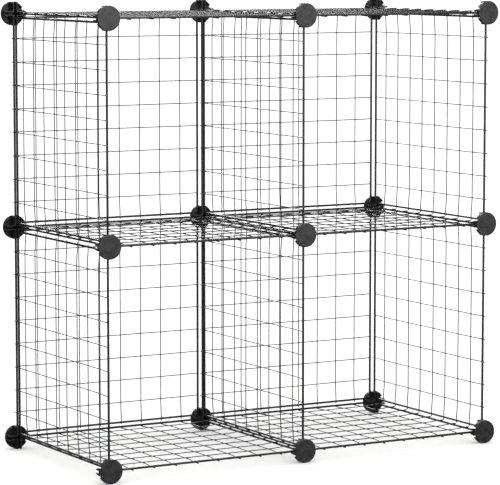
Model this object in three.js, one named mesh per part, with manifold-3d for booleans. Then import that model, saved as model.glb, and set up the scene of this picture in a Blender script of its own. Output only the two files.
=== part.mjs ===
// Cube storage unit: four open-front cubes, two wide and two high, made of sixteen
// welded wire mesh panels held at their corners by eighteen moulded round connectors.
// Millimetres. +Z is up, the open front faces -Y, +X is to the right seen from the front.
// The origin is on the floor, under the middle of the unit.

import * as THREE from 'three';
import { mergeVertices } from 'three/addons/utils/BufferGeometryUtils.js';
import Module from 'manifold-3d';

const wasm = await Module();
wasm.setup();

// ---------------------------------------------------------------- driving dimensions

// The grid of connectors: columns across, rows up.
const COLUMNS = ['left', 'center', 'right'];
const ROWS = ['bottom', 'middle', 'top'];
const PITCH = 360; // from one connector axis to the next, across and up

// A mesh panel: a bent rim wire with a grid of thin wires welded to its two faces.
const PANEL = 350; // outside size of the square rim
const RIM_D = 3.6; // rim wire across its flats
const RIM_SIDES = 6; // sides of the rim wire's section
const RIM_BEND = 10; // radius of the rim's corners, on its centre line
const BEND_STEPS = 2; // straight pieces in each bent corner
const WIRE_D = 1.4; // thin wire diameter
const WIRE_COUNT = 8; // thin wires each way, nine cells each way
const WIRE_PITCH = 39.5; // between neighbouring thin wires
const WELD_SINK = 0.3; // how deep a thin wire is pressed into the rim
const WIRE_END = 0.8; // how far a thin wire's cut end runs past the rim's centre line

// A connector: a round cap, its low skirt notched for the rims, with four slotted arms.
// A short piece of the skirt closes the outer end of each arm.
const DISC_R = 20;
const DISC_T = 2.2;
const DISC_EDGE = 0.7; // bevel around the disc's outer face
const DISC_SIDES = 24;
const SKIRT_R = 19.6;
const SKIRT_WALL = 2;
const SKIRT_DEPTH = 7.2; // from the disc's outer face to the skirt's edge
const SKIRT_NOTCH = 9.6; // the skirt starts this far from the slots' middle planes
const SHIELD_HALF = 3; // the skirt's piece across an arm's end, out to inside its walls
const SLOT_HALF = 2.1; // half the width of a slot in an arm
const ARM_WALL = 1.7; // wall on each side of a slot
const ARM_REACH = 20; // from the connector's axis to the end of an arm
const ARM_DEPTH = 17.5; // from the disc's outer face to the arms' ends
const WEB_FILLET = 3.2; // inside corner where two arms meet
const CATCH_LENGTH = 7; // how much of an arm's end is flared
const CATCH_RISE = 2.4; // how far a flare stands out from the wall
const CATCH_TOP = 2; // length of the flare's highest part
const CATCH_NOSE = 1.1; // how far the flare is rounded back from the arm's end
const FIT = 0.3; // play between parts that meet

// Depths measured inward from the discs' outer faces.
const BACK_RIM_DEPTH = DISC_T + FIT + RIM_D / 2; // centre of a back panel's rim
const END_RIM_DEPTH = 9.5; // centre of the end rims of side panels and shelves

// ---------------------------------------------------------------- derived positions

const RIM_LINE = PANEL / 2 - RIM_D / 2; // rim centre line from the panel's middle
const FACE_Y = RIM_LINE + END_RIM_DEPTH; // outer faces of the discs, front and back
const CATCH_START = BACK_RIM_DEPTH + RIM_D / 2 + FIT; // flares clear the back rims

const columnX = (column) => (column - 1) * PITCH;
const rowZ = (row) => ARM_REACH + row * PITCH;
const cubeX = (cube) => (cube - 0.5) * PITCH;
const cubeZ = (cube) => ARM_REACH + (cube + 0.5) * PITCH;

// ---------------------------------------------------------------- finishes

// Black powder-coated steel wire.
function powderCoat() {
  return new THREE.MeshStandardMaterial({ color: '#26272a', roughness: 0.38, metalness: 0.15 });
}

// Black moulded plastic with a fine satin grain.
function mouldedPlastic() {
  return new THREE.MeshStandardMaterial({ color: '#2b2b2d', roughness: 0.55, metalness: 0 });
}

// ---------------------------------------------------------------- solid geometry helpers

// A closed geometry as a solid that can be joined to others.
function toSolid(geometry) {
  const bare = geometry.clone();
  bare.deleteAttribute('normal');
  bare.deleteAttribute('uv');
  const merged = mergeVertices(bare);
  const mesh = new wasm.Mesh({
    numProp: 3,
    vertProperties: new Float32Array(merged.attributes.position.array),
    triVerts: new Uint32Array(merged.index.array),
  });
  return new wasm.Manifold(mesh);
}

// A solid back to a flat-shaded geometry.
function toGeometry(solid) {
  const mesh = solid.getMesh();
  const shared = new THREE.BufferGeometry();
  shared.setAttribute('position', new THREE.BufferAttribute(mesh.vertProperties, 3));
  shared.setIndex(new THREE.BufferAttribute(mesh.triVerts, 1));
  const geometry = shared.toNonIndexed();
  geometry.computeVertexNormals();
  return geometry;
}

// Closed geometries joined into one solid geometry.
function join(geometries) {
  let whole = toSolid(geometries[0]);
  for (const geometry of geometries.slice(1)) {
    whole = whole.add(toSolid(geometry));
  }
  return toGeometry(whole);
}

// A flat outline pushed from one depth to another along +Y, its own y turned to -Z.
function prismAlongY(outline, from, to) {
  const shape = new THREE.Shape(outline.map(([x, y]) => new THREE.Vector2(x, y)));
  const geometry = new THREE.ExtrudeGeometry(shape, { depth: to - from, bevelEnabled: false });
  geometry.rotateX(-Math.PI / 2);
  geometry.translate(0, from, 0);
  return geometry;
}

// ---------------------------------------------------------------- mesh panel

// Centre and outward direction of every section along the rim's rounded square.
function rimStations() {
  const stations = [];
  const bendCentre = RIM_LINE - RIM_BEND;
  for (let corner = 0; corner < 4; corner += 1) {
    const start = corner * Math.PI / 2;
    const diagonal = start + Math.PI / 4;
    const cx = bendCentre * Math.sign(Math.cos(diagonal));
    const cy = bendCentre * Math.sign(Math.sin(diagonal));
    for (let step = 0; step <= BEND_STEPS; step += 1) {
      const angle = start + (step / BEND_STEPS) * Math.PI / 2;
      stations.push({ cx, cy, outX: Math.cos(angle), outY: Math.sin(angle) });
    }
  }
  return stations;
}

// The rim: one wire bent to a rounded square and welded end to end, lying in the XY plane.
function rimGeometry() {
  const stations = rimStations();
  const radius = RIM_D / 2 / Math.cos(Math.PI / RIM_SIDES);
  const positions = [];
  for (const { cx, cy, outX, outY } of stations) {
    for (let side = 0; side < RIM_SIDES; side += 1) {
      const turn = (side / RIM_SIDES) * 2 * Math.PI;
      const out = RIM_BEND + radius * Math.cos(turn);
      positions.push(cx + out * outX, cy + out * outY, radius * Math.sin(turn));
    }
  }
  const indices = [];
  for (let s = 0; s < stations.length; s += 1) {
    const next = (s + 1) % stations.length;
    for (let side = 0; side < RIM_SIDES; side += 1) {
      const nextSide = (side + 1) % RIM_SIDES;
      const a = s * RIM_SIDES + side;
      const b = next * RIM_SIDES + side;
      const c = next * RIM_SIDES + nextSide;
      const d = s * RIM_SIDES + nextSide;
      indices.push(a, b, c, a, c, d);
    }
  }
  const geometry = new THREE.BufferGeometry();
  geometry.setAttribute('position', new THREE.Float32BufferAttribute(positions, 3));
  geometry.setIndex(indices);
  return geometry;
}

// One thin wire along X or Y, on the +Z face of the rim for X and the -Z face for Y.
function thinWireGeometry(alongX, offset) {
  const side = WIRE_D * Math.sqrt(Math.PI) / 2; // square with the round wire's area
  const length = 2 * (RIM_LINE + WIRE_END);
  const lift = RIM_D / 2 - WELD_SINK + side / 2;
  const geometry = alongX
    ? new THREE.BoxGeometry(length, side, side)
    : new THREE.BoxGeometry(side, length, side);
  if (alongX) {
    geometry.translate(0, offset, lift);
  } else {
    geometry.translate(offset, 0, -lift);
  }
  return geometry;
}

// A whole panel in the XY plane: rim, eight wires across, eight wires up.
function panelGeometry() {
  const pieces = [rimGeometry()];
  for (let i = 0; i < WIRE_COUNT; i += 1) {
    const offset = (i - (WIRE_COUNT - 1) / 2) * WIRE_PITCH;
    pieces.push(thinWireGeometry(true, offset));
    pieces.push(thinWireGeometry(false, offset));
  }
  return join(pieces);
}

// ---------------------------------------------------------------- connector

// The round face, its outer side at y = 0 and its axis along Y.
function discGeometry() {
  const profile = [
    new THREE.Vector2(0, 0),
    new THREE.Vector2(DISC_R - DISC_EDGE, 0),
    new THREE.Vector2(DISC_R, DISC_EDGE),
    new THREE.Vector2(DISC_R, DISC_T),
    new THREE.Vector2(0, DISC_T),
  ];
  const geometry = new THREE.LatheGeometry(profile, DISC_SIDES);
  geometry.rotateY(Math.PI / DISC_SIDES); // a flat side, not a corner, points down
  return geometry;
}

// Outline of the bent wall between two neighbouring arms.
function webOutline() {
  const outer = SLOT_HALF + ARM_WALL;
  const middle = outer + WEB_FILLET * (1 - Math.SQRT1_2);
  return [
    [SLOT_HALF, SLOT_HALF],
    [ARM_REACH, SLOT_HALF],
    [ARM_REACH, outer],
    [outer + WEB_FILLET, outer],
    [middle, middle],
    [outer, outer + WEB_FILLET],
    [outer, ARM_REACH],
    [SLOT_HALF, ARM_REACH],
  ];
}

// Outline of the flare at the end of one wall of an arm.
function catchOutline() {
  const outer = SLOT_HALF + ARM_WALL;
  const shoulder = ARM_REACH - CATCH_NOSE;
  return [
    [ARM_REACH - CATCH_LENGTH, outer - FIT],
    [ARM_REACH, outer - FIT],
    [ARM_REACH, outer + FIT],
    [shoulder, outer + CATCH_RISE],
    [shoulder - CATCH_TOP, outer + CATCH_RISE],
  ];
}

// Outline of the skirt between the notches on either side of one quarter.
function skirtOutline() {
  const inner = SKIRT_R - SKIRT_WALL;
  const arcPoint = (radius, share) => {
    const start = Math.asin(SKIRT_NOTCH / radius);
    const angle = start + share * (Math.PI / 2 - 2 * start);
    return [radius * Math.cos(angle), radius * Math.sin(angle)];
  };
  const outward = [0, 1 / 3, 2 / 3, 1].map((share) => arcPoint(SKIRT_R, share));
  const inward = [1, 1 / 2, 0].map((share) => arcPoint(inner, share));
  return [...outward, ...inward];
}

// Outline of the short piece of skirt across the end of one arm.
function shieldOutline() {
  const inner = SKIRT_R - SKIRT_WALL;
  return [
    [SKIRT_R, -SHIELD_HALF],
    [SKIRT_R, SHIELD_HALF],
    [inner, SHIELD_HALF],
    [inner, -SHIELD_HALF],
  ];
}

// The same outline with its two directions swapped, walked the other way round.
function swapped(outline) {
  return outline.map(([x, y]) => [y, x]).reverse();
}

// One quarter of the back: skirt, shield, bent wall, and a flare at each wall end.
function quarterGeometries() {
  return [
    prismAlongY(skirtOutline(), DISC_T - FIT, SKIRT_DEPTH),
    prismAlongY(shieldOutline(), DISC_T - FIT, SKIRT_DEPTH),
    prismAlongY(webOutline(), DISC_T - FIT, ARM_DEPTH),
    prismAlongY(catchOutline(), CATCH_START, ARM_DEPTH),
    prismAlongY(swapped(catchOutline()), CATCH_START, ARM_DEPTH),
  ];
}

// A whole connector, its disc facing -Y and its arms pointing up, down, left and right.
function connectorGeometry() {
  const pieces = [discGeometry()];
  for (let quarter = 0; quarter < 4; quarter += 1) {
    for (const piece of quarterGeometries()) {
      pieces.push(piece.rotateY(quarter * Math.PI / 2));
    }
  }
  return join(pieces);
}

// ---------------------------------------------------------------- assembly

const PANEL_SHAPE = panelGeometry();
const CONNECTOR_SHAPE = connectorGeometry();

// A panel standing upright, its wires across on the face that turn points outward.
function uprightPanel(name, turn, x, y, z) {
  const mesh = new THREE.Mesh(PANEL_SHAPE.clone(), powderCoat());
  mesh.name = name;
  mesh.rotation.set(Math.PI / 2, 0, turn, 'ZYX');
  mesh.position.set(x, y, z);
  return mesh;
}

// A panel lying flat, its front-to-back wires on the underside.
function flatPanel(name, x, z) {
  const mesh = new THREE.Mesh(PANEL_SHAPE.clone(), powderCoat());
  mesh.name = name;
  mesh.position.set(x, 0, z);
  return mesh;
}

function connector(name, isFront, x, z) {
  const mesh = new THREE.Mesh(CONNECTOR_SHAPE.clone(), mouldedPlastic());
  mesh.name = name;
  mesh.rotation.z = isFront ? 0 : Math.PI;
  mesh.position.set(x, isFront ? -FACE_Y : FACE_Y, z);
  return mesh;
}

// Four panels closing the back, one behind each cube.
function backPanels() {
  const group = new THREE.Group();
  group.name = 'back';
  for (const [row, level] of ['bottom', 'top'].entries()) {
    for (const [column, side] of ['left', 'right'].entries()) {
      const name = `back_panel_${level}_${side}`;
      const y = FACE_Y - BACK_RIM_DEPTH;
      group.add(uprightPanel(name, Math.PI, cubeX(column), y, cubeZ(row)));
    }
  }
  return group;
}

// Two side panels on the left, two on the right and two dividers in the middle.
function standingPanels() {
  const group = new THREE.Group();
  group.name = 'uprights';
  const kinds = ['side_panel_left', 'divider_panel', 'side_panel_right'];
  for (const [column, kind] of kinds.entries()) {
    const turn = column === 2 ? Math.PI / 2 : -Math.PI / 2;
    for (const [row, level] of ['bottom', 'top'].entries()) {
      group.add(uprightPanel(`${kind}_${level}`, turn, columnX(column), 0, cubeZ(row)));
    }
  }
  return group;
}

// Two panels at each level: the floor, the middle shelf and the top.
function lyingPanels() {
  const group = new THREE.Group();
  group.name = 'shelves';
  const kinds = ['floor_panel', 'shelf_panel', 'top_panel'];
  for (const [row, kind] of kinds.entries()) {
    for (const [column, side] of ['left', 'right'].entries()) {
      group.add(flatPanel(`${kind}_${side}`, cubeX(column), rowZ(row)));
    }
  }
  return group;
}

// Nine connectors on the front and nine on the back.
function connectors() {
  const group = new THREE.Group();
  group.name = 'connectors';
  for (const face of ['front', 'back']) {
    for (const [row, level] of ROWS.entries()) {
      for (const [column, side] of COLUMNS.entries()) {
        const name = `connector_${face}_${level}_${side}`;
        group.add(connector(name, face === 'front', columnX(column), rowZ(row)));
      }
    }
  }
  return group;
}

function cubeStorageUnit() {
  const unit = new THREE.Group();
  unit.name = 'cube_storage_unit';
  unit.add(backPanels(), standingPanels(), lyingPanels(), connectors());
  return unit;
}

export default cubeStorageUnit();
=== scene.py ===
"""Looks for a cube storage unit of wire mesh panels and round moulded connectors.

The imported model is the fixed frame. Every panel and every connector is built again
here with its round wires, welds and moulded edges, in metres, in the same place.
"""

import logging
import math
import random
from dataclasses import dataclass, field
from enum import Enum
from typing import Sequence

import bpy
from mathutils import Matrix, Vector


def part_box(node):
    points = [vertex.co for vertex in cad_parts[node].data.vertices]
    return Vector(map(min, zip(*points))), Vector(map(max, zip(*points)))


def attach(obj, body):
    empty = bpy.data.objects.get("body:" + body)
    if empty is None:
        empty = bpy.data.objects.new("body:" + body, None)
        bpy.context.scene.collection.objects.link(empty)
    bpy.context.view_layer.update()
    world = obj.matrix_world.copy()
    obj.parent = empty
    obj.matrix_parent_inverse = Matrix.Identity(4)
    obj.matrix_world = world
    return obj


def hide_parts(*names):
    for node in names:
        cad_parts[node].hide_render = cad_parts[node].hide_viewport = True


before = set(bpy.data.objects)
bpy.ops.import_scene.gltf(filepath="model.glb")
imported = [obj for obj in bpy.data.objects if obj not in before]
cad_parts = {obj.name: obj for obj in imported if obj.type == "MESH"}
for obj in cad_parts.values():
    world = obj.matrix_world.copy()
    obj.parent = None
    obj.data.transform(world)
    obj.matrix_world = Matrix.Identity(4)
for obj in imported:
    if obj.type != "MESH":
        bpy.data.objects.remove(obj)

LOG = logging.getLogger("cube_storage_unit")
MM = 0.001
BODY = "root"

Outline = list[tuple[float, float]]


# ---------------------------------------------------------------- colours and nodes


def linear(hex_colour: str) -> tuple[float, float, float, float]:
    """Turns an sRGB hex colour into the linear colour that shaders take.

    Args:
        hex_colour: a colour such as "#1c1d1f".

    Returns:
        Red, green, blue and an alpha of one.
    """
    channels = []
    for start in (1, 3, 5):
        value = int(hex_colour[start:start + 2], 16) / 255
        low = value <= 0.04045
        channels.append(value / 12.92 if low else ((value + 0.055) / 1.055) ** 2.4)
    return (channels[0], channels[1], channels[2], 1.0)


def per_metre(size_mm: float) -> float:
    """Gives the texture scale at which one feature of a pattern is size_mm wide."""
    return 1.0 / (size_mm * MM)


def add_node(
    tree: bpy.types.NodeTree,
    kind: str,
    values: dict[str | int, object] | None = None,
    wires: dict[str | int, bpy.types.NodeSocket] | None = None,
    **settings: object,
) -> bpy.types.Node:
    """Adds one node with its settings, its fixed values and the links into it.

    Args:
        tree: the node tree to add to.
        kind: the node's type name.
        values: input name or number to the value it holds.
        wires: input name or number to the output socket that feeds it.
        **settings: properties of the node itself.

    Returns:
        The new node.
    """
    node = tree.nodes.new(kind)
    for name, setting in settings.items():
        setattr(node, name, setting)
    for name, value in (values or {}).items():
        node.inputs[name].default_value = value
    for name, source in (wires or {}).items():
        tree.links.new(source, node.inputs[name])
    return node


def new_material(name: str) -> tuple[bpy.types.Material, bpy.types.NodeTree]:
    """Makes an empty node material.

    Args:
        name: the material's name.

    Returns:
        The material and its node tree, with nothing in it.
    """
    material = bpy.data.materials.new(name)
    material.use_nodes = True
    material.node_tree.nodes.clear()
    return material, material.node_tree


# ---------------------------------------------------------------- finishes


@dataclass(frozen=True)
class PowderCoatedSteel:
    """Black polyester powder baked onto steel wire."""

    name: str = "powder_coated_steel_wire"
    film: str = "#17181a"
    thin_film: str = "#2c2d30"
    roughness: float = 0.24
    ior: float = 1.52
    shine: float = 0.4
    peel_mm: float = 1.1
    film_patch_mm: float = 18.0
    speck_mm: float = 0.5
    peel_mm_deep: float = 0.03
    peel_strength: float = 0.07

    def material(self) -> bpy.types.Material:
        """Builds the finish: a semi-gloss film with orange peel and small dull specks.

        Returns:
            The material.
        """
        material, tree = new_material(self.name)
        place = add_node(tree, "ShaderNodeTexCoord").outputs["Object"]
        # The film is thinner here and there, which lifts the black slightly.
        patches = add_node(
            tree, "ShaderNodeTexNoise",
            values={"Scale": per_metre(self.film_patch_mm), "Detail": 3.0, "Roughness": 0.6},
            wires={"Vector": place},
        )
        patch_share = add_node(
            tree, "ShaderNodeMapRange",
            values={"From Min": 0.42, "From Max": 0.72, "To Min": 0.0, "To Max": 0.55},
            wires={"Value": patches.outputs["Fac"]},
        )
        colour = add_node(
            tree, "ShaderNodeMix", data_type="RGBA",
            values={6: linear(self.film), 7: linear(self.thin_film)},
            wires={0: patch_share.outputs["Result"]},
        )
        # Half-millimetre specks of unmelted powder dull the gloss.
        specks = add_node(
            tree, "ShaderNodeTexNoise",
            values={"Scale": per_metre(self.speck_mm), "Detail": 2.0},
            wires={"Vector": place},
        )
        gloss = add_node(
            tree, "ShaderNodeMapRange",
            values={
                "From Min": 0.35, "From Max": 0.75,
                "To Min": self.roughness - 0.04, "To Max": self.roughness + 0.1,
            },
            wires={"Value": specks.outputs["Fac"]},
        )
        # Orange peel: shallow waves about a millimetre apart.
        peel = add_node(
            tree, "ShaderNodeTexNoise",
            values={"Scale": per_metre(self.peel_mm), "Detail": 1.0},
            wires={"Vector": place},
        )
        bump = add_node(
            tree, "ShaderNodeBump",
            values={"Strength": self.peel_strength, "Distance": self.peel_mm_deep * MM},
            wires={"Height": peel.outputs["Fac"]},
        )
        shader = add_node(
            tree, "ShaderNodeBsdfPrincipled",
            values={"IOR": self.ior, "Metallic": 0.0, "Specular IOR Level": self.shine},
            wires={
                "Base Color": colour.outputs[2],
                "Roughness": gloss.outputs["Result"],
                "Normal": bump.outputs["Normal"],
            },
        )
        add_node(tree, "ShaderNodeOutputMaterial", wires={"Surface": shader.outputs["BSDF"]})
        return material


@dataclass(frozen=True)
class MouldedAbs:
    """Black ABS from a spark-eroded mould."""

    name: str = "moulded_black_abs"
    pigment: str = "#19191a"
    flow_tint: str = "#29292a"
    rubbed: str = "#4a4a4b"
    roughness: float = 0.42
    ior: float = 1.54
    shine: float = 0.26
    grain_mm: float = 0.45
    flow_mm: float = 9.0
    rub_mm: float = 5.0
    grain_mm_deep: float = 0.02
    grain_strength: float = 0.15

    def material(self) -> bpy.types.Material:
        """Builds the finish: a satin grain, faint flow clouding and light rub marks.

        Returns:
            The material.
        """
        material, tree = new_material(self.name)
        place = add_node(tree, "ShaderNodeTexCoord").outputs["Object"]
        # The melt leaves faint clouds as it fills the mould.
        flow = add_node(
            tree, "ShaderNodeTexNoise",
            values={"Scale": per_metre(self.flow_mm), "Detail": 2.0, "Distortion": 0.6},
            wires={"Vector": place},
        )
        cloud_share = add_node(
            tree, "ShaderNodeMapRange",
            values={"From Min": 0.35, "From Max": 0.65},
            wires={"Value": flow.outputs["Fac"]},
        )
        clouded = add_node(
            tree, "ShaderNodeMix", data_type="RGBA",
            values={6: linear(self.pigment), 7: linear(self.flow_tint)},
            wires={0: cloud_share.outputs["Result"]},
        )
        # Handling leaves short pale rubs, longer than they are wide.
        stretched = add_node(
            tree, "ShaderNodeMapping",
            values={"Rotation": (0.3, 0.5, 0.7), "Scale": (1.0, 0.35, 2.4)},
            wires={"Vector": place},
        )
        rubs = add_node(
            tree, "ShaderNodeTexNoise",
            values={"Scale": per_metre(self.rub_mm), "Detail": 5.0, "Roughness": 0.7},
            wires={"Vector": stretched.outputs["Vector"]},
        )
        rub_share = add_node(
            tree, "ShaderNodeMapRange",
            values={"From Min": 0.58, "From Max": 0.8, "To Min": 0.0, "To Max": 0.4},
            wires={"Value": rubs.outputs["Fac"]},
        )
        colour = add_node(
            tree, "ShaderNodeMix", data_type="RGBA",
            values={7: linear(self.rubbed)},
            wires={0: rub_share.outputs["Result"], 6: clouded.outputs[2]},
        )
        gloss = add_node(
            tree, "ShaderNodeMapRange",
            values={
                "From Min": 0.3, "From Max": 0.8,
                "To Min": self.roughness - 0.05, "To Max": self.roughness + 0.12,
            },
            wires={"Value": rubs.outputs["Fac"]},
        )
        # The eroded grain is a tenth of a millimetre; drawn coarser so that it shows.
        grain = add_node(
            tree, "ShaderNodeTexVoronoi",
            values={"Scale": per_metre(self.grain_mm)},
            wires={"Vector": place},
        )
        bump = add_node(
            tree, "ShaderNodeBump",
            values={"Strength": self.grain_strength, "Distance": self.grain_mm_deep * MM},
            wires={"Height": grain.outputs["Distance"]},
        )
        shader = add_node(
            tree, "ShaderNodeBsdfPrincipled",
            values={"IOR": self.ior, "Metallic": 0.0, "Specular IOR Level": self.shine},
            wires={
                "Base Color": colour.outputs[2],
                "Roughness": gloss.outputs["Result"],
                "Normal": bump.outputs["Normal"],
            },
        )
        add_node(tree, "ShaderNodeOutputMaterial", wires={"Surface": shader.outputs["BSDF"]})
        return material


@dataclass(frozen=True)
class SweepPaper:
    """Matt white studio paper."""

    name: str = "matt_white_paper"
    sheet: str = "#fafaf9"
    roughness: float = 0.9
    fibre_mm: float = 3.0
    fibre_mm_deep: float = 0.05
    fibre_strength: float = 0.1
    fade_start: float = 0.8
    fade_end: float = 1.8
    lit_through: float = 0.16

    def material(self) -> bpy.types.Material:
        """Builds the finish: an even white with a faint fibre tooth.

        Returns:
            The material.
        """
        material, tree = new_material(self.name)
        place = add_node(tree, "ShaderNodeTexCoord").outputs["Object"]
        fibre = add_node(
            tree, "ShaderNodeTexNoise",
            values={"Scale": per_metre(self.fibre_mm), "Detail": 2.0},
            wires={"Vector": place},
        )
        bump = add_node(
            tree, "ShaderNodeBump",
            values={"Strength": self.fibre_strength, "Distance": self.fibre_mm_deep * MM},
            wires={"Height": fibre.outputs["Fac"]},
        )
        shader = add_node(
            tree, "ShaderNodeBsdfPrincipled",
            values={
                "Base Color": linear(self.sheet), "Roughness": self.roughness,
                "Specular IOR Level": 0.0,
                "Emission Color": (1.0, 1.0, 1.0, 1.0),
                "Emission Strength": self.lit_through,
            },
            wires={"Normal": bump.outputs["Normal"]},
        )
        # The sheet melts into the surround so that its edge never shows.
        reach = add_node(
            tree, "ShaderNodeVectorMath", operation="LENGTH", wires={0: place},
        )
        fade = add_node(
            tree, "ShaderNodeMapRange", interpolation_type="SMOOTHSTEP",
            values={"From Min": self.fade_start, "From Max": self.fade_end},
            wires={"Value": reach.outputs["Value"]},
        )
        clear = add_node(tree, "ShaderNodeBsdfTransparent")
        blend = add_node(
            tree, "ShaderNodeMixShader",
            wires={
                0: fade.outputs["Result"],
                1: shader.outputs["BSDF"],
                2: clear.outputs["BSDF"],
            },
        )
        add_node(tree, "ShaderNodeOutputMaterial", wires={"Surface": blend.outputs["Shader"]})
        return material


# ---------------------------------------------------------------- mesh making


@dataclass
class Skin:
    """Points and faces gathered for one mesh."""

    points: list[Vector] = field(default_factory=list)
    faces: list[tuple[int, ...]] = field(default_factory=list)

    def ring(self, points: Sequence[Vector]) -> list[int]:
        """Adds a row of points.

        Args:
            points: the points, in order.

        Returns:
            Their numbers.
        """
        start = len(self.points)
        self.points.extend(points)
        return list(range(start, len(self.points)))

    def bridge(self, low: list[int], high: list[int]) -> None:
        """Joins two closed rings of equal length with a band of faces.

        Args:
            low: the first ring.
            high: the second ring.
        """
        count = len(low)
        for i in range(count):
            j = (i + 1) % count
            self.faces.append((low[i], low[j], high[j], high[i]))

    def tube(
        self,
        path: Sequence[Vector],
        radii: Sequence[float],
        sides: int,
        closed: bool,
    ) -> None:
        """Adds a round wire along a path that lies nearly flat.

        Args:
            path: the points of its centre line.
            radii: the wire's radius at each of them.
            sides: the number of sides of the section.
            closed: whether the last point joins the first.
        """
        rings = []
        count = len(path)
        for i, point in enumerate(path):
            before = path[i - 1] if closed or i > 0 else path[0]
            after = path[(i + 1) % count] if closed or i < count - 1 else path[-1]
            along = (after - before).normalized()
            across = Vector((0, 0, 1)).cross(along).normalized()
            up = along.cross(across)
            rings.append(self.ring([
                point + radii[i] * (math.cos(turn) * across + math.sin(turn) * up)
                for turn in (2 * math.pi * k / sides for k in range(sides))
            ]))
        for low, high in zip(rings, rings[1:]):
            self.bridge(low, high)
        if closed:
            self.bridge(rings[-1], rings[0])
        else:
            self.faces.append(tuple(reversed(rings[0])))
            self.faces.append(tuple(rings[-1]))

    def bead(self, centre: Vector, radii: Vector, around: int = 8, rows: int = 4) -> None:
        """Adds a small rounded bead, such as a spot of weld.

        Args:
            centre: its middle.
            radii: its half sizes along X, Y and Z.
            around: points around it.
            rows: bands from pole to pole.
        """
        poles = self.ring([
            centre - Vector((0, 0, radii.z)),
            centre + Vector((0, 0, radii.z)),
        ])
        rings = []
        for row in range(1, rows):
            tilt = math.pi * row / rows - math.pi / 2
            rings.append(self.ring([
                centre + Vector((
                    radii.x * math.cos(tilt) * math.cos(turn),
                    radii.y * math.cos(tilt) * math.sin(turn),
                    radii.z * math.sin(tilt),
                ))
                for turn in (2 * math.pi * k / around for k in range(around))
            ]))
        for low, high in zip(rings, rings[1:]):
            self.bridge(low, high)
        for i in range(around):
            j = (i + 1) % around
            self.faces.append((poles[0], rings[0][j], rings[0][i]))
            self.faces.append((poles[1], rings[-1][i], rings[-1][j]))

    def loft(self, outlines: Sequence[Outline], depths: Sequence[float]) -> None:
        """Adds a closed solid through outlines of equal length, stacked along +Y.

        Args:
            outlines: the outlines in X and Z, walked anticlockwise seen from -Y.
            depths: the Y of each.
        """
        rings = [
            self.ring([Vector((x, depth, z)) for x, z in outline])
            for outline, depth in zip(outlines, depths)
        ]
        for low, high in zip(rings, rings[1:]):
            self.bridge(high, low)
        self.faces.append(tuple(rings[0]))
        self.faces.append(tuple(reversed(rings[-1])))

    def lathe(self, profile: Sequence[tuple[float, float]], around: int) -> None:
        """Adds a closed solid turned about Y from a profile that starts and ends on it.

        Args:
            profile: radius and Y of each point, from the outer face to the inner.
            around: points around it.
        """
        first, *middle, last = profile
        poles = self.ring([Vector((0, first[1], 0)), Vector((0, last[1], 0))])
        rings = [
            self.ring([
                Vector((radius * math.cos(turn), depth, radius * math.sin(turn)))
                for turn in (2 * math.pi * k / around for k in range(around))
            ])
            for radius, depth in middle
        ]
        for low, high in zip(rings, rings[1:]):
            self.bridge(high, low)
        for i in range(around):
            j = (i + 1) % around
            self.faces.append((poles[0], rings[0][i], rings[0][j]))
            self.faces.append((poles[1], rings[-1][j], rings[-1][i]))

    def mesh(self, name: str, place: Matrix, sharp_deg: float) -> bpy.types.Mesh:
        """Turns what was gathered into a smooth mesh with its hard edges kept.

        Args:
            name: the mesh's name.
            place: where it goes in the frame.
            sharp_deg: edges that turn more than this stay hard.

        Returns:
            The mesh.
        """
        mesh = bpy.data.meshes.new(name)
        mesh.from_pydata([tuple(place @ p) for p in self.points], [], self.faces)
        mesh.validate()
        mesh.shade_smooth()
        mesh.set_sharp_from_angle(angle=math.radians(sharp_deg))
        return mesh


def arc(centre: tuple[float, float], radius: float, start_deg: float, end_deg: float,
        steps: int) -> Outline:
    """Gives points along an arc.

    Args:
        centre: the arc's centre.
        radius: its radius.
        start_deg: the angle of its first point.
        end_deg: the angle of its last point.
        steps: the number of straight pieces.

    Returns:
        The points, both ends included.
    """
    turns = (start_deg + (end_deg - start_deg) * k / steps for k in range(steps + 1))
    return [
        (
            centre[0] + radius * math.cos(math.radians(turn)),
            centre[1] + radius * math.sin(math.radians(turn)),
        )
        for turn in turns
    ]


def shrink(outline: Outline, amount: float) -> Outline:
    """Draws a closed outline in by the same amount all round.

    Args:
        outline: the outline, walked anticlockwise.
        amount: how far its sides move inward.

    Returns:
        The smaller outline.
    """
    drawn = []
    for i, (x, z) in enumerate(outline):
        before = Vector((x - outline[i - 1][0], z - outline[i - 1][1])).normalized()
        following = outline[(i + 1) % len(outline)]
        after = Vector((following[0] - x, following[1] - z)).normalized()
        mean = (before + after).normalized()
        reach = amount / max(mean.dot(after), 0.6)
        drawn.append((x - mean.y * reach, z + mean.x * reach))
    return drawn


def rounding(radius: float, steps: int = 4) -> list[tuple[float, float]]:
    """Gives the steps of a rounded edge as cut inward and distance from the end.

    Args:
        radius: the edge's radius.
        steps: the number of steps.

    Returns:
        Pairs of inward cut and distance still to go to the end.
    """
    turns = (math.pi / 2 * k / steps for k in range(steps + 1))
    return [(radius * (1 - math.cos(t)), radius * (1 - math.sin(t))) for t in turns]


def unit_collection() -> bpy.types.Collection:
    """Gives the collection that holds the unit's own pieces, made on first use.

    Returns:
        The collection.
    """
    found = bpy.data.collections.get("unit")
    if found is None:
        found = bpy.data.collections.new("unit")
        bpy.context.scene.collection.children.link(found)
    return found


def place_piece(mesh: bpy.types.Mesh, node: str, material: bpy.types.Material) -> bpy.types.Object:
    """Puts a finished mesh in the scene in place of its CAD node.

    Args:
        mesh: the piece's mesh, already where it belongs.
        node: the CAD node it stands for.
        material: its finish.

    Returns:
        The new piece.
    """
    piece = bpy.data.objects.new(f"{node}.look", mesh)
    unit_collection().objects.link(piece)
    mesh.materials.append(material)
    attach(piece, BODY)
    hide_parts(node)
    LOG.info("%s: %d faces", piece.name, len(mesh.polygons))
    return piece


# ---------------------------------------------------------------- wire mesh panel


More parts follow.
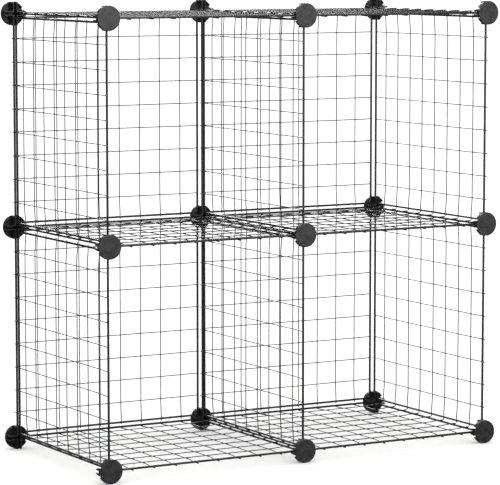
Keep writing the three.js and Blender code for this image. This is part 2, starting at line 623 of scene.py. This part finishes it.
class Stance(Enum):
    """How a panel stands, as the turns that take it from lying flat to its place."""

    FLAT = Matrix.Identity(4)
    BACK = Matrix.Rotation(math.pi, 4, "Z") @ Matrix.Rotation(math.pi / 2, 4, "X")
    LEFT = Matrix.Rotation(-math.pi / 2, 4, "Z") @ Matrix.Rotation(math.pi / 2, 4, "X")
    RIGHT = Matrix.Rotation(math.pi / 2, 4, "Z") @ Matrix.Rotation(math.pi / 2, 4, "X")


@dataclass
class WirePanel:
    """One welded panel: a bent rim wire and a grid of thin wires. Sizes in metres."""

    node: str
    stance: Stance
    outside: float = 350 * MM
    rim: float = 3.85 * MM
    bend: float = 10 * MM
    wire: float = 1.7 * MM
    count: int = 8
    pitch: float = 39.5 * MM
    overrun: float = 1.5 * MM
    rim_sink: float = 0.25 * MM
    cross_sink: float = 0.1 * MM
    level_past_grid: float = 2 * MM
    level_before_rim: float = 2.5 * MM
    wander: float = 0.15 * MM
    shear_error: float = 0.4 * MM
    weld_swelling: float = 1.07
    foot_weld_half: float = 1.5 * MM
    foot_weld_rise: float = 0.45 * MM
    foot_weld_sink: float = 0.15 * MM
    rim_sides: int = 14
    wire_sides: int = 8
    bend_steps: int = 7

    @property
    def rim_line(self) -> float:
        """Distance from the panel's middle to the rim's centre line."""
        return (self.outside - self.rim) / 2

    def rim_path(self) -> list[Vector]:
        """Gives the rim's centre line, a square with rounded corners.

        Returns:
            The points, anticlockwise, with extra ones around the butt weld.
        """
        path = []
        reach = self.rim_line - self.bend
        for corner in range(4):
            start = 90.0 * corner
            middle = math.radians(start + 45)
            centre = (
                math.copysign(reach, math.cos(middle)),
                math.copysign(reach, math.sin(middle)),
            )
            path += arc(centre, self.bend, start, start + 90, self.bend_steps)
        weld = [Vector((x * MM, self.rim_line, 0)) for x in (1.6, 0.7, -0.7, -1.6)]
        turn_end = self.bend_steps + 1
        flat = [Vector((x, y, 0)) for x, y in path]
        return flat[:turn_end] + weld + flat[turn_end:]

    def add_rim(self, skin: Skin) -> None:
        """Adds the rim, with the slight swelling where its two ends are butt welded.

        Args:
            skin: the mesh being gathered.
        """
        path = self.rim_path()
        radius = self.rim / 2
        swollen = self.bend_steps + 2
        radii = [
            radius * (self.weld_swelling if i in (swollen, swollen + 1) else 1.0)
            for i in range(len(path))
        ]
        skin.tube(path, radii, self.rim_sides, closed=True)

    def offsets(self, chance: random.Random) -> list[float]:
        """Gives where the thin wires cross the panel, each a little off its place.

        Args:
            chance: the panel's own source of small errors.

        Returns:
            Distances from the panel's middle.
        """
        middle = (self.count - 1) / 2
        return [
            (i - middle) * self.pitch + chance.gauss(0, self.wander)
            for i in range(self.count)
        ]

    def lift(self, along: float) -> float:
        """Gives a thin wire's height above the panel's middle plane.

        It lies on the rim's face at its ends, and the weld pulls it down to the wires
        that cross it over the first cell.

        Args:
            along: distance from the middle of the wire.

        Returns:
            The height of its centre line.
        """
        on_rim = (self.rim + self.wire) / 2 - self.rim_sink
        on_grid = self.wire / 2 - self.cross_sink
        grid_edge = (self.count - 1) / 2 * self.pitch + self.level_past_grid
        climb = self.rim_line - self.level_before_rim - grid_edge
        share = (abs(along) - grid_edge) / climb
        share = min(max(share, 0.0), 1.0)
        return on_grid + (on_rim - on_grid) * share * share * (3 - 2 * share)

    def add_thin_wire(self, skin: Skin, offset: float, along_x: bool,
                      chance: random.Random) -> None:
        """Adds one thin wire, sheared off just past the rim at both ends.

        Args:
            skin: the mesh being gathered.
            offset: where it crosses the panel.
            along_x: whether it runs along X, on the +Z face, or along Y, on the other.
            chance: the panel's own source of small errors.
        """
        end = self.rim_line + self.rim / 2
        stops = [end, self.rim_line, self.rim_line - 3 * MM, self.rim_line - 10 * MM,
                 self.rim_line - 18 * MM, self.rim_line - 26 * MM, self.rim_line - 33 * MM,
                 90 * MM, 40 * MM]
        error = self.shear_error
        low_end = end + self.overrun + chance.uniform(-error, error)
        high_end = end + self.overrun + chance.uniform(-error, error)
        stations = [-low_end, *(-s for s in stops), 0.0, *reversed(stops), high_end]
        skew = chance.gauss(0, self.wander)
        bow = chance.gauss(0, self.wander)
        side = 1.0 if along_x else -1.0
        path = []
        for station in stations:
            share = station / self.rim_line
            shift = offset + skew * share + bow * (1 - share * share)
            height = side * self.lift(station)
            point = (station, shift, height) if along_x else (shift, station, height)
            path.append(Vector(point))
        radii = [self.wire / 2] * len(path)
        skin.tube(path, radii, self.wire_sides, closed=False)

    def add_welds(self, skin: Skin, across: list[float], up: list[float]) -> None:
        """Adds the spots of weld at every crossing and on the rim.

        Args:
            skin: the mesh being gathered.
            across: the places of the wires that run along X.
            up: the places of the wires that run along Y.
        """
        spot = Vector((0.95, 0.95, 0.75)) * self.wire * 0.75
        for y in across:
            for x in up:
                skin.bead(Vector((x, y, 0)), spot)
        foot = self.rim / 2 - self.foot_weld_sink
        long, wide, high = self.foot_weld_half, 0.8 * self.wire, self.foot_weld_rise
        for end in (-self.rim_line, self.rim_line):
            for y in across:
                skin.bead(Vector((end, y, foot)), Vector((long, wide, high)))
            for x in up:
                skin.bead(Vector((x, end, -foot)), Vector((wide, long, high)))

    def build(self, finish: bpy.types.Material) -> bpy.types.Object:
        """Builds the panel in its place.

        Args:
            finish: the powder coat.

        Returns:
            The panel.
        """
        chance = random.Random(self.node)
        skin = Skin()
        self.add_rim(skin)
        across = self.offsets(chance)
        up = self.offsets(chance)
        for offset in across:
            self.add_thin_wire(skin, offset, True, chance)
        for offset in up:
            self.add_thin_wire(skin, offset, False, chance)
        self.add_welds(skin, across, up)
        low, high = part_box(self.node)
        place = Matrix.Translation((low + high) / 2) @ self.stance.value
        mesh = skin.mesh(self.node, place, sharp_deg=50)
        return place_piece(mesh, self.node, finish)


# ---------------------------------------------------------------- moulded connector


class Facing(Enum):
    """Which way a connector's round face looks, as the turn that takes it there."""

    FRONT = Matrix.Identity(4)
    BACK = Matrix.Rotation(math.pi, 4, "Z")


@dataclass
class Connector:
    """One moulded connector: a round cap, a notched skirt and four slotted arms.

    Sizes are in millimetres. Depths run inward from the outer face.
    """

    node: str
    facing: Facing
    radius: float = 20.0
    thickness: float = 2.2
    crown: float = 0.35
    edge: float = 0.9
    skirt_inset: float = 0.05
    skirt_wall: float = 1.9
    skirt_depth: float = 8.2
    skirt_round: float = 0.6
    shield_half: float = 4.75
    shield_depth: float = 7.2
    notch: float = 8.85
    slot: float = 2.1
    wall: float = 1.7
    fillet: float = 3.2
    arm_depth: float = 17.5
    catch_start: float = 6.4
    catch_length: float = 7.0
    catch_rise: float = 2.4
    tip_round: float = 0.45
    around: int = 72

    def cap_profile(self) -> list[tuple[float, float]]:
        """Gives the cap's profile: a crowned face, a rounded edge and a flat inside.

        Returns:
            Radius and depth of each point.
        """
        flat = self.radius - self.edge
        face = [
            (flat * share, self.crown * share * share)
            for share in (0.0, 0.25, 0.5, 0.7, 0.85, 1.0)
        ]
        turn = [
            (
                flat + self.edge * math.sin(math.radians(angle)),
                self.crown + self.edge * (1 - math.cos(math.radians(angle))),
            )
            for angle in (15, 35, 55, 75, 90)
        ]
        # The mould's gate leaves a low round stub in the middle of the inside.
        inside = [
            (self.radius, self.thickness - 0.2),
            (self.radius - 0.2, self.thickness),
            (2.0, self.thickness),
            (1.6, self.thickness + 0.5),
            (0.6, self.thickness + 0.5),
            (0.0, self.thickness + 0.3),
        ]
        return face + turn + inside

    def skirt_faces(self, cut: float) -> tuple[float, float]:
        """Gives the skirt's outer and inner radius where the edge is rounded by cut."""
        return self.radius - self.skirt_inset - cut, self.radius - self.skirt_wall + 0.3 * cut

    def skirt_outline(self, cut: float) -> Outline:
        """Gives one quarter of the skirt between two notches.

        Args:
            cut: how much its outer face is rounded away at this depth.

        Returns:
            The outline.
        """
        outer, inner = self.skirt_faces(cut)
        edge = self.notch + 0.5 * cut
        start = math.degrees(math.asin(edge / outer))
        end = math.degrees(math.asin(edge / inner))
        outward = arc((0, 0), outer, start, 90 - start, 9)
        inward = arc((0, 0), inner, 90 - end, end, 7)
        return outward + inward

    def shield_outline(self, cut: float) -> Outline:
        """Gives the short piece of skirt that closes the outer end of one arm.

        Args:
            cut: how much its outer face is rounded away at this depth.

        Returns:
            The outline.
        """
        outer, inner = self.skirt_faces(cut)
        reach = math.degrees(math.asin((self.shield_half - 0.5 * cut) / outer))
        return arc((0, 0), outer, -reach, reach, 4) + arc((0, 0), inner, reach, -reach, 4)

    def arm_side(self, rise: float, trim: float) -> Outline:
        """Gives the edge of an arm's wall from its slot round to the web's fillet.

        Args:
            rise: how far the flare stands out here.
            trim: how much the arm's end is drawn in here.

        Returns:
            The points, from the slot to the fillet.
        """
        outer = self.slot + self.wall
        reach = self.radius - trim
        return [
            (reach - 1.0, self.slot),
            (reach - 0.2, self.slot + 0.35),
            (reach, self.slot + 0.7),
            (reach, outer + 0.12 * rise - 0.25),
            (reach - 0.35, outer + 0.55 * rise),
            (reach - 1.1, outer + 0.92 * rise),
            (reach - 1.9, outer + rise),
            (reach - 2.9, outer + rise),
            (reach - 4.0, outer + 0.75 * rise),
            (reach - 5.4, outer + 0.3 * rise),
            (reach - self.catch_length, outer),
            (outer + self.fillet + 1.5, outer),
        ]

    def web_outline(self, rise: float, trim: float) -> Outline:
        """Gives the bent wall between two neighbouring arms, with a flare at each end.

        Args:
            rise: how far the flares stand out here.
            trim: how much the arms' ends are drawn in here.

        Returns:
            The outline.
        """
        outer = self.slot + self.wall
        centre = outer + self.fillet
        side = self.arm_side(rise, trim)
        bend = arc((centre, centre), self.fillet, 270, 180, 5)
        corner = [(self.slot, self.slot + 0.5), (self.slot + 0.5, self.slot)]
        return side + bend + [(y, x) for x, y in reversed(side)] + corner

    def add_quarter(self, skin: Skin) -> None:
        """Adds one quarter of the back: skirt, shield and web with two flared ends.

        Args:
            skin: the mesh being gathered.
        """
        buried = self.thickness - 0.4
        edge = rounding(self.skirt_round)
        skin.loft(
            [self.skirt_outline(0.0)] + [self.skirt_outline(cut) for cut, _ in edge],
            [buried] + [self.skirt_depth - left for _, left in edge],
        )
        skin.loft(
            [self.shield_outline(0.0)] + [self.shield_outline(cut) for cut, _ in edge],
            [buried] + [self.shield_depth - left for _, left in edge],
        )
        tip_rise = 0.3 * self.catch_rise
        rises_and_depths = [
            (0.0, 0.0, buried),
            (0.0, 0.0, self.catch_start - 0.05),
            (0.9 * self.catch_rise, 0.0, self.catch_start),
            (self.catch_rise, 0.0, self.catch_start + 0.25),
            (self.catch_rise, 0.0, self.catch_start + 3.5),
            (0.75 * self.catch_rise, 0.1, self.arm_depth - 3.6),
            (0.5 * self.catch_rise, 0.25, self.arm_depth - 1.6),
        ]
        outlines = [self.web_outline(rise, trim) for rise, trim, _ in rises_and_depths]
        depths = [depth for _, _, depth in rises_and_depths]
        for cut, left in rounding(self.tip_round, 3):
            outlines.append(shrink(self.web_outline(tip_rise, 0.4), cut))
            depths.append(self.arm_depth - left)
        skin.loft(outlines, depths)

    def build(self, finish: bpy.types.Material) -> bpy.types.Object:
        """Builds the connector in its place.

        Args:
            finish: the moulded plastic.

        Returns:
            The connector.
        """
        whole = Skin()
        whole.lathe(self.cap_profile(), self.around)
        quarter = Skin()
        self.add_quarter(quarter)
        for number in range(4):
            turn = Matrix.Rotation(number * math.pi / 2, 4, "Y")
            start = len(whole.points)
            whole.points += [turn @ point for point in quarter.points]
            whole.faces += [tuple(start + i for i in face) for face in quarter.faces]
        low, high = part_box(self.node)
        middle = (low + high) / 2
        face_y = low.y if self.facing is Facing.FRONT else high.y
        place = (
            Matrix.Translation((middle.x, face_y, middle.z))
            @ self.facing.value
            @ Matrix.Scale(MM, 4)
        )
        mesh = whole.mesh(self.node, place, sharp_deg=38)
        return place_piece(mesh, self.node, finish)


# ---------------------------------------------------------------- the unit


@dataclass
class CubeStorageUnit:
    """All the panels and connectors of the unit."""

    wire: PowderCoatedSteel = field(default_factory=PowderCoatedSteel)
    plastic: MouldedAbs = field(default_factory=MouldedAbs)

    @staticmethod
    def panels() -> list[WirePanel]:
        """Lists the sixteen panels.

        Returns:
            The panels, each with its place.
        """
        upright = {
            "side_panel_left": Stance.LEFT,
            "divider_panel": Stance.LEFT,
            "side_panel_right": Stance.RIGHT,
        }
        panels = []
        for side in ("left", "right"):
            for level in ("bottom", "top"):
                panels.append(WirePanel(f"back_panel_{level}_{side}", Stance.BACK))
            for kind in ("floor_panel", "shelf_panel", "top_panel"):
                panels.append(WirePanel(f"{kind}_{side}", Stance.FLAT))
        for kind, stance in upright.items():
            for level in ("bottom", "top"):
                panels.append(WirePanel(f"{kind}_{level}", stance))
        return panels

    @staticmethod
    def connectors() -> list[Connector]:
        """Lists the eighteen connectors.

        Returns:
            The connectors, each with the way it faces.
        """
        return [
            Connector(f"connector_{facing.name.lower()}_{level}_{side}", facing)
            for facing in Facing
            for level in ("bottom", "middle", "top")
            for side in ("left", "center", "right")
        ]

    def build(self) -> None:
        """Builds every panel and connector and dresses them."""
        coat = self.wire.material()
        for panel in self.panels():
            panel.build(coat)
        plastic = self.plastic.material()
        for connector in self.connectors():
            connector.build(plastic)


# ---------------------------------------------------------------- studio


@dataclass
class Softbox:
    """A square diffused light that falls on the unit only. Metres and watts."""

    name: str
    at: tuple[float, float, float]
    size: float
    power: float
    aim: tuple[float, float, float] = (0.0, 0.0, 0.4)

    def build(self) -> None:
        """Adds the light, turned to face its aim and hidden from the camera."""
        light = bpy.data.lights.new(self.name, "AREA")
        light.shape = "SQUARE"
        light.size = self.size
        light.energy = self.power
        lamp = bpy.data.objects.new(self.name, light)
        bpy.context.scene.collection.objects.link(lamp)
        lamp.location = self.at
        toward = Vector(self.aim) - Vector(self.at)
        lamp.rotation_euler = toward.to_track_quat("-Z", "Y").to_euler()
        lamp.visible_camera = False
        lamp.light_linking.receiver_collection = unit_collection()


@dataclass
class Studio:
    """The floor, the lights and the camera. Sizes in metres."""

    paper: SweepPaper = field(default_factory=SweepPaper)
    floor_radius: float = 1.9
    floor_sides: int = 48
    backdrop_glow: float = 1.25
    fill_glow: float = 1.12
    behind_glow: float = 2.4
    before_glow: float = 0.8
    dark_glow: float = 0.15
    low_share: float = 0.35
    target: tuple[float, float, float] = (-0.0022, 0.0, 0.3507)
    azimuth_deg: float = -29.74
    elevation_deg: float = 6.26
    distance: float = 4.575
    lens: float = 193.45
    softboxes: tuple[Softbox, ...] = (
        Softbox("key_softbox", (-0.1, -1.4, 1.25), 0.4, 17.0, (-0.3, -0.18, 0.65)),
        Softbox("front_softbox", (0.5, -1.35, 0.8), 1.2, 8.0, (0.0, -0.18, 0.6)),
        Softbox("top_softbox", (-0.1, 0.1, 1.35), 0.7, 4.0, (-0.1, 0.1, 0.0)),
        Softbox("hair_softbox", (1.2, 2.75, 1.65), 1.6, 68.0),
    )

    def add_floor(self) -> None:
        """Adds the paper floor as one wide disc."""
        skin = Skin()
        outline = arc((0.0, 0.0), self.floor_radius, 0, 360, self.floor_sides)[:-1]
        skin.faces.append(tuple(skin.ring([Vector((x, y, 0.0)) for x, y in outline])))
        mesh = skin.mesh("paper_floor", Matrix.Identity(4), sharp_deg=30)
        mesh.materials.append(self.paper.material())
        floor = bpy.data.objects.new("paper_floor", mesh)
        bpy.context.scene.collection.objects.link(floor)
        # The flags at the sides also keep the bright sheet out of the black gloss.
        floor.visible_glossy = False

    def add_surround(self) -> None:
        """Adds the white surround, with dark flags at its sides for the reflections."""
        world = bpy.data.worlds.new("studio_surround")
        world.use_nodes = True
        tree = world.node_tree
        tree.nodes.clear()
        ray = add_node(tree, "ShaderNodeLightPath")
        direction = add_node(tree, "ShaderNodeTexCoord").outputs["Generated"]
        # The walls stand before and behind the unit, across the line of view.
        azimuth = math.radians(self.azimuth_deg)
        across = add_node(
            tree, "ShaderNodeVectorMath", operation="DOT_PRODUCT",
            values={1: (-math.sin(azimuth), math.cos(azimuth), 0.0)},
            wires={0: direction},
        )
        before = add_node(
            tree, "ShaderNodeMapRange", interpolation_type="SMOOTHSTEP",
            values={
                "From Min": -0.6, "From Max": -0.95,
                "To Min": self.dark_glow, "To Max": self.before_glow,
            },
            wires={"Value": across.outputs["Value"]},
        )
        behind = add_node(
            tree, "ShaderNodeMapRange", interpolation_type="SMOOTHSTEP",
            values={
                "From Min": 0.8, "From Max": 0.96,
                "To Min": 0.0, "To Max": self.behind_glow,
            },
            wires={"Value": across.outputs["Value"]},
        )
        walls = add_node(
            tree, "ShaderNodeMath", operation="ADD",
            wires={0: before.outputs["Result"], 1: behind.outputs["Result"]},
        )
        # Both walls are dimmer below the horizon, so the low wires stay blacker.
        height = add_node(tree, "ShaderNodeSeparateXYZ", wires={0: direction})
        horizon = add_node(
            tree, "ShaderNodeMapRange",
            values={
                "From Min": -0.16, "From Max": -0.04,
                "To Min": self.low_share, "To Max": 1.0,
            },
            wires={"Value": height.outputs["Z"]},
        )
        graded = add_node(
            tree, "ShaderNodeMath", operation="MULTIPLY",
            wires={0: walls.outputs["Value"], 1: horizon.outputs["Result"]},
        )
        fill = add_node(
            tree, "ShaderNodeMix", data_type="FLOAT",
            values={2: self.fill_glow},
            wires={0: ray.outputs["Is Glossy Ray"], 3: graded.outputs["Value"]},
        )
        seen = add_node(
            tree, "ShaderNodeMix", data_type="FLOAT",
            values={3: self.backdrop_glow},
            wires={0: ray.outputs["Is Camera Ray"], 2: fill.outputs[0]},
        )
        glow = add_node(
            tree, "ShaderNodeBackground",
            values={"Color": (1.0, 1.0, 1.0, 1.0)},
            wires={"Strength": seen.outputs[0]},
        )
        add_node(tree, "ShaderNodeOutputWorld", wires={"Surface": glow.outputs["Background"]})
        bpy.context.scene.world = world

    def add_camera(self) -> None:
        """Adds the long-lens camera, to the left of the unit and just above it."""
        azimuth = math.radians(self.azimuth_deg)
        elevation = math.radians(self.elevation_deg)
        outward = Vector((
            math.sin(azimuth) * math.cos(elevation),
            -math.cos(azimuth) * math.cos(elevation),
            math.sin(elevation),
        ))
        data = bpy.data.cameras.new("camera")
        data.lens = self.lens
        data.sensor_width = 36.0
        data.clip_end = 500.0
        camera = bpy.data.objects.new("camera", data)
        bpy.context.scene.collection.objects.link(camera)
        camera.location = Vector(self.target) + outward * self.distance
        camera.rotation_euler = (-outward).to_track_quat("-Z", "Y").to_euler()
        bpy.context.scene.camera = camera

    def build(self) -> None:
        """Sets the stage and the plain colour handling."""
        self.add_floor()
        self.add_surround()
        for softbox in self.softboxes:
            softbox.build()
        self.add_camera()
        bpy.context.scene.view_settings.view_transform = "Standard"


def main() -> None:
    """Builds the unit and its studio, and reports each piece."""
    logging.basicConfig(level=logging.INFO, format="%(name)s %(message)s")
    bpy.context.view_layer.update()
    CubeStorageUnit().build()
    Studio().build()


if __name__ == "__main__":
    main()
